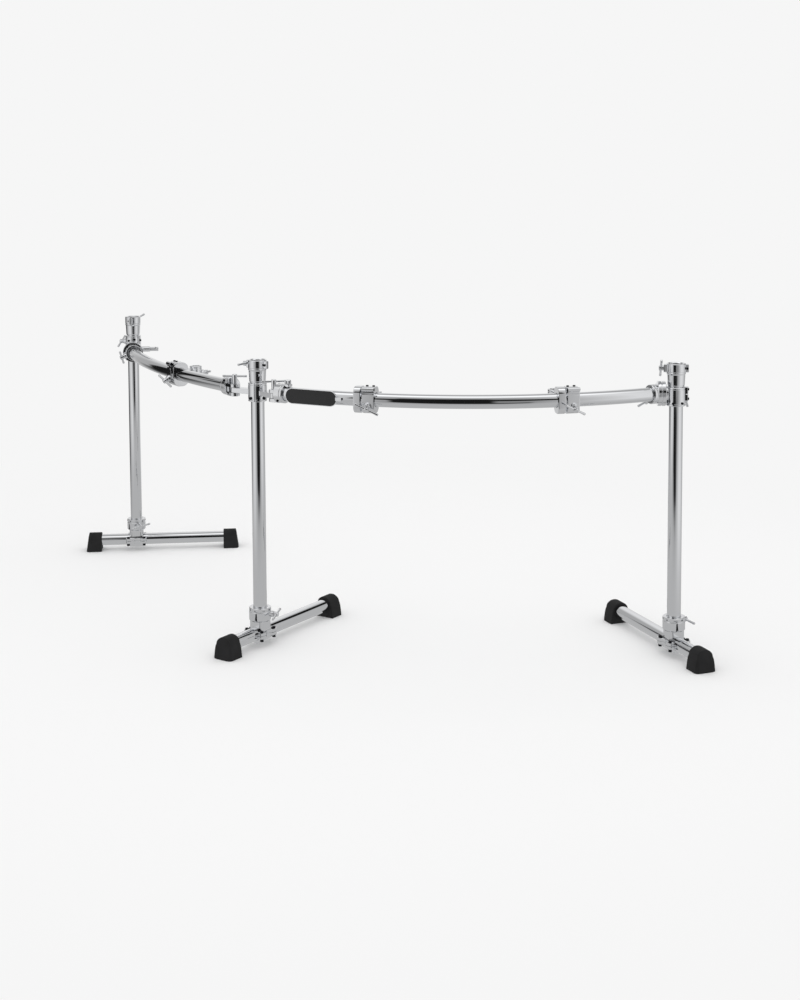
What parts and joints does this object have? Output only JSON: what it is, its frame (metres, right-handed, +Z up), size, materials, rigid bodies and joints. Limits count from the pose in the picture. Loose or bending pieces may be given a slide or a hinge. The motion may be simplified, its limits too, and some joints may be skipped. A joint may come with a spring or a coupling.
{
  "type": "drum rack frame",
  "caption": "Curved drum rack frame: chromed tube posts on T-shaped feet with rubber shoes, curved rack bars, post-top cups, swivel sockets and multi clamps with wing screws.",
  "frame": {"origin": "centre of the whole part's box, on the floor", "axes": "+X along the front bar from the centre post to the right post, +Y from the listener's side to the player's side, +Z up"},
  "size_m": [2.0348, 1.2814, 0.8237],
  "materials": {
    "chrome": "polished",
    "rubber": "satin",
    "black_enamel": "gloss"
  },
  "bodies": {
    "centre_post": {"centre_post": "chrome"},
    "corner_collar": {"corner_collar": "chrome"},
    "corner_collar_screw": {"corner_collar_screw": "chrome"},
    "front_wing": {"front_bar": "chrome", "front_socket": "chrome", "badge": "black_enamel", "right_socket": "chrome"},
    "side_wing": {"side_bar": "chrome", "side_socket": "chrome", "left_socket": "chrome"},
    "front_socket_screw": {"front_socket_screw": "chrome"},
    "side_socket_screw": {"side_socket_screw": "chrome"},
    "front_socket_knob": {"front_socket_knob": "chrome"},
    "right_socket_screw": {"right_socket_screw": "chrome"},
    "left_socket_screw": {"left_socket_screw": "chrome"},
    "right_collar": {"right_collar": "chrome"},
    "right_collar_screw": {"right_collar_screw": "chrome"},
    "right_post": {"right_post": "chrome"},
    "left_collar": {"left_collar": "chrome"},
    "left_collar_screw": {"left_collar_screw": "chrome"},
    "left_post": {"left_post": "chrome"},
    "left_collar_long_screw": {"left_collar_long_screw": "chrome"},
    "centre_foot": {"centre_foot_tube": "chrome", "centre_outer_shoe": "rubber", "centre_inner_shoe": "rubber", "centre_base_clamp": "chrome", "centre_base_strap": "chrome"},
    "centre_base_screw": {"centre_base_screw": "chrome"},
    "centre_cup": {"centre_cup": "chrome"},
    "centre_cup_screw": {"centre_cup_screw": "chrome"},
    "right_foot": {"right_foot_tube": "chrome", "right_outer_shoe": "rubber", "right_inner_shoe": "rubber", "right_base_clamp": "chrome", "right_base_strap": "chrome"},
    "right_base_screw": {"right_base_screw": "chrome"},
    "right_cup": {"right_cup": "chrome"},
    "right_cup_screw": {"right_cup_screw": "chrome"},
    "left_foot": {"left_foot_tube": "chrome", "left_outer_shoe": "rubber", "left_inner_shoe": "rubber", "left_base_clamp": "chrome", "left_base_strap": "chrome"},
    "left_base_screw": {"left_base_screw": "chrome"},
    "left_cup": {"left_cup": "chrome"},
    "left_cup_screw": {"left_cup_screw": "chrome"},
    "front_left_clamp_block": {"front_left_clamp_block": "chrome"},
    "front_left_clamp_block_screw": {"front_left_clamp_block_screw": "chrome"},
    "front_left_clamp_receiver": {"front_left_clamp_receiver": "chrome"},
    "front_left_clamp_receiver_screw": {"front_left_clamp_receiver_screw": "chrome"},
    "front_right_clamp_block": {"front_right_clamp_block": "chrome"},
    "front_right_clamp_block_screw": {"front_right_clamp_block_screw": "chrome"},
    "front_right_clamp_receiver": {"front_right_clamp_receiver": "chrome"},
    "front_right_clamp_receiver_screw": {"front_right_clamp_receiver_screw": "chrome"},
    "side_clamp_block": {"side_clamp_block": "chrome"},
    "side_clamp_block_screw": {"side_clamp_block_screw": "chrome"},
    "side_clamp_receiver": {"side_clamp_receiver": "chrome"},
    "side_clamp_receiver_screw": {"side_clamp_receiver_screw": "chrome"}
  },
  "joints": [
    {"name": "bar_height", "type": "slide", "parent": "centre_post", "child": "corner_collar", "axis": [0, 0, 1], "range_m": [-0.4, 0]},
    {"name": "corner_collar_screw_turn", "type": "hinge", "parent": "corner_collar", "child": "corner_collar_screw", "pos_m": [-0.21669, -0.41481, 0.704], "axis": [0.5736, 0.8192, 0], "continuous": true},
    {"name": "front_wing_swing", "type": "hinge", "parent": "corner_collar", "child": "front_wing", "pos_m": [-0.18159, -0.49869, 0.727], "axis": [0, 0, 1], "range_deg": [-30, 30]},
    {"name": "side_wing_swing", "type": "hinge", "parent": "corner_collar", "child": "side_wing", "pos_m": [-0.30763, -0.41077, 0.727], "axis": [0, 0, 1], "range_deg": [-30, 30]},
    {"name": "front_socket_screw_turn", "type": "hinge", "parent": "front_wing", "child": "front_socket_screw", "pos_m": [-0.18159, -0.49869, 0.7366], "axis": [0, 0, 1], "continuous": true},
    {"name": "side_socket_screw_turn", "type": "hinge", "parent": "side_wing", "child": "side_socket_screw", "pos_m": [-0.30763, -0.41077, 0.7366], "axis": [0, 0, 1], "continuous": true},
    {"name": "front_socket_knob_turn", "type": "hinge", "parent": "front_wing", "child": "front_socket_knob", "pos_m": [-0.13939, -0.51937, 0.7548], "axis": [0, 0, 1], "continuous": true},
    {"name": "right_socket_screw_turn", "type": "hinge", "parent": "front_wing", "child": "right_socket_screw", "pos_m": [0.84137, -0.4339, 0.70576], "axis": [-0.422, 0.678, -0.6018], "continuous": true},
    {"name": "left_socket_screw_turn", "type": "hinge", "parent": "side_wing", "child": "left_socket_screw", "pos_m": [-0.86134, 0.47202, 0.68137], "axis": [-0.8795, -0.3254, -0.3473], "continuous": true},
    {"name": "right_flange_turn", "type": "hinge", "parent": "front_wing", "child": "right_collar", "pos_m": [0.88811, -0.44596, 0.727], "axis": [-0.9971, -0.0767, 0], "range_deg": [-20, 20]},
    {"name": "right_collar_screw_turn", "type": "hinge", "parent": "right_collar", "child": "right_collar_screw", "pos_m": [0.93971, -0.41669, 0.719], "axis": [0.6428, 0.766, 0], "continuous": true},
    {"name": "right_post_slide", "type": "slide", "parent": "right_collar", "child": "right_post", "axis": [0, 0, 1], "range_m": [0, 0.4]},
    {"name": "left_flange_turn", "type": "hinge", "parent": "side_wing", "child": "left_collar", "pos_m": [-0.84022, 0.517, 0.693], "axis": [0.2181, -0.9759, 0], "range_deg": [-20, 20]},
    {"name": "left_collar_screw_turn", "type": "hinge", "parent": "left_collar", "child": "left_collar_screw", "pos_m": [-0.8815, 0.55021, 0.724], "axis": [-0.9903, 0.1392, 0], "continuous": true},
    {"name": "left_post_slide", "type": "slide", "parent": "left_collar", "child": "left_post", "axis": [0, 0, 1], "range_m": [0, 0.4]},
    {"name": "left_collar_long_screw_turn", "type": "hinge", "parent": "left_collar", "child": "left_collar_long_screw", "pos_m": [-0.78881, 0.55341, 0.697], "axis": [0.9903, 0.1392, 0], "continuous": true},
    {"name": "centre_foot_turn", "type": "hinge", "parent": "centre_post", "child": "centre_foot", "pos_m": [-0.23694, -0.44373, 0.07], "axis": [0, 0, 1], "continuous": true},
    {"name": "centre_base_screw_turn", "type": "hinge", "parent": "centre_foot", "child": "centre_base_screw", "pos_m": [-0.19613, -0.45012, 0.089], "axis": [0.988, -0.1547, 0], "continuous": true},
    {"name": "centre_cup_turn", "type": "hinge", "parent": "centre_post", "child": "centre_cup", "pos_m": [-0.23694, -0.44373, 0.78], "axis": [0, 0, 1], "continuous": true},
    {"name": "centre_cup_screw_turn", "type": "hinge", "parent": "centre_cup", "child": "centre_cup_screw", "pos_m": [-0.26802, -0.42923, 0.7965], "axis": [-0.9063, 0.4226, 0], "continuous": true},
    {"name": "right_foot_turn", "type": "hinge", "parent": "right_post", "child": "right_foot", "pos_m": [0.91702, -0.44373, 0.07], "axis": [0, 0, 1], "continuous": true},
    {"name": "right_base_screw_turn", "type": "hinge", "parent": "right_foot", "child": "right_base_screw", "pos_m": [0.94555, -0.41387, 0.089], "axis": [0.6909, 0.723, 0], "continuous": true},
    {"name": "right_cup_turn", "type": "hinge", "parent": "right_post", "child": "right_cup", "pos_m": [0.91702, -0.44373, 0.78], "axis": [0, 0, 1], "continuous": true},
    {"name": "right_cup_screw_turn", "type": "hinge", "parent": "right_cup", "child": "right_cup_screw", "pos_m": [0.88272, -0.44373, 0.7965], "axis": [-1, 0, 0], "continuous": true},
    {"name": "left_foot_turn", "type": "hinge", "parent": "left_post", "child": "left_foot", "pos_m": [-0.84655, 0.5453, 0.07], "axis": [0, 0, 1], "continuous": true},
    {"name": "left_base_screw_turn", "type": "hinge", "parent": "left_foot", "child": "left_base_screw", "pos_m": [-0.8254, 0.50982, 0.089], "axis": [0.512, -0.859, 0], "continuous": true},
    {"name": "left_cup_turn", "type": "hinge", "parent": "left_post", "child": "left_cup", "pos_m": [-0.84655, 0.5453, 0.78], "axis": [0, 0, 1], "continuous": true},
    {"name": "left_cup_screw_turn", "type": "hinge", "parent": "left_cup", "child": "left_cup_screw", "pos_m": [-0.84595, 0.57959, 0.7965], "axis": [0.0175, 0.9998, 0], "continuous": true},
    {"name": "front_left_clamp_travel", "type": "hinge", "parent": "front_wing", "child": "front_left_clamp_block", "pos_m": [0.30145, 0.43361, 0.727], "axis": [0, 0, 1], "range_deg": [-1.36, 10.91]},
    {"name": "front_left_clamp_block_screw_turn", "type": "hinge", "parent": "front_left_clamp_block", "child": "front_left_clamp_block_screw", "pos_m": [0.08986, -0.62605, 0.70935], "axis": [-0.1696, -0.8493, -0.5], "continuous": true},
    {"name": "front_left_clamp_receiver_swivel", "type": "hinge", "parent": "front_left_clamp_block", "child": "front_left_clamp_receiver", "pos_m": [0.06554, -0.58955, 0.727], "axis": [0.9744, -0.2247, 0], "range_deg": [-60, 60]},
    {"name": "front_left_clamp_receiver_screw_turn", "type": "hinge", "parent": "front_left_clamp_receiver", "child": "front_left_clamp_receiver_screw", "pos_m": [0.08291, -0.51423, 0.727], "axis": [0.2247, 0.9744, 0], "continuous": true},
    {"name": "front_right_clamp_travel", "type": "hinge", "parent": "front_wing", "child": "front_right_clamp_block", "pos_m": [0.30145, 0.43361, 0.727], "axis": [0, 0, 1], "range_deg": [-10.91, 8.19]},
    {"name": "front_right_clamp_block_screw_turn", "type": "hinge", "parent": "front_right_clamp_block", "child": "front_right_clamp_block_screw", "pos_m": [0.64044, -0.59241, 0.70935], "axis": [0.2717, -0.8223, -0.5], "continuous": true},
    {"name": "front_right_clamp_receiver_swivel", "type": "hinge", "parent": "front_right_clamp_block", "child": "front_right_clamp_receiver", "pos_m": [0.60128, -0.57268, 0.727], "axis": [0.9584, 0.2856, 0], "range_deg": [-60, 60]},
    {"name": "front_right_clamp_receiver_screw_turn", "type": "hinge", "parent": "front_right_clamp_receiver", "child": "front_right_clamp_receiver_screw", "pos_m": [0.57921, -0.49859, 0.727], "axis": [-0.2856, 0.9584, 0], "continuous": true},
    {"name": "side_clamp_travel", "type": "hinge", "parent": "side_wing", "child": "side_clamp_block", "pos_m": [1.80668, 1.42483, 0.71], "axis": [0.0161, -0.0279, -0.9995], "range_deg": [-4.09, 8.19]},
    {"name": "side_clamp_block_screw_turn", "type": "hinge", "parent": "side_clamp_block", "child": "side_clamp_block_screw", "pos_m": [-0.57551, -0.10404, 0.69647], "axis": [-0.7209, -0.4815, -0.4985], "continuous": true},
    {"name": "side_clamp_receiver_swivel", "type": "hinge", "parent": "side_clamp_block", "child": "side_clamp_receiver", "pos_m": [-0.53319, -0.11303, 0.71506], "axis": [-0.549, 0.8352, -0.0321], "range_deg": [-60, 60]},
    {"name": "side_clamp_receiver_screw_turn", "type": "hinge", "parent": "side_clamp_receiver", "child": "side_clamp_receiver_screw", "pos_m": [-0.46859, -0.07057, 0.71492], "axis": [0.8357, 0.5492, -0.0018], "continuous": true}
  ],
  "couplings": [
    {"joint": "right_post_slide", "follows": "bar_height", "ratio": -1},
    {"joint": "left_post_slide", "follows": "bar_height", "ratio": -1}
  ]
}
